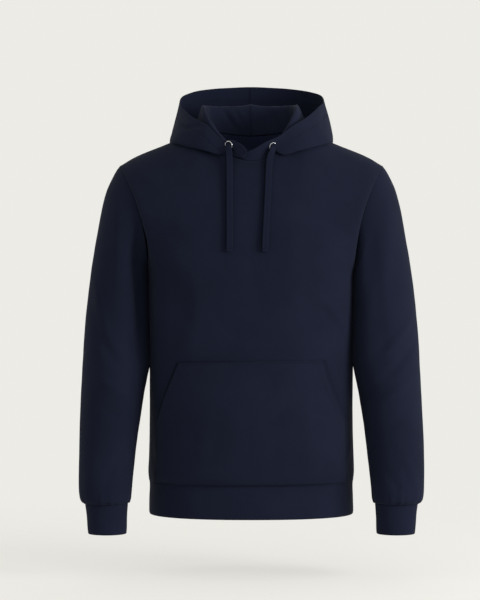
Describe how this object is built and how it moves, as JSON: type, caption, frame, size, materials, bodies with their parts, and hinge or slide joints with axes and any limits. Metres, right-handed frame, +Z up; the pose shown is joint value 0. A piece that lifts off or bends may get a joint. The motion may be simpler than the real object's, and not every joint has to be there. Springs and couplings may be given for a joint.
{
  "type": "pullover hoodie",
  "caption": "Hooded fleece pullover with long sleeves, banded cuffs and hem, kangaroo pocket and a flat drawcord through metal eyelets, filled out as if worn.",
  "frame": {"origin": "middle of the neck opening, level with the neck ends of the shoulder seams, where the wearer's shoulders carry the garment", "axes": "+Z up, from the hem to the hood; the front faces -Y; +X towards the wearer's left side"},
  "size_m": [0.6094, 0.305, 0.8138],
  "materials": {
    "fleece": "brushed navy fleece, matt",
    "rib": "fine navy rib knit, matt",
    "braid": "flat navy braid, matt",
    "eyelet_metal": "bright nickel"
  },
  "bodies": {
    "root": {"front": "fleece", "back": "fleece", "sleeve_left": "fleece", "sleeve_right": "fleece", "cuff_left": "rib", "cuff_right": "rib", "waistband": "rib", "pocket": "fleece", "hood_left": "fleece", "hood_right": "fleece", "eyelet_left": "eyelet_metal", "eyelet_right": "eyelet_metal", "drawcord_left": "braid", "drawcord_right": "braid"}
  },
  "joints": []
}
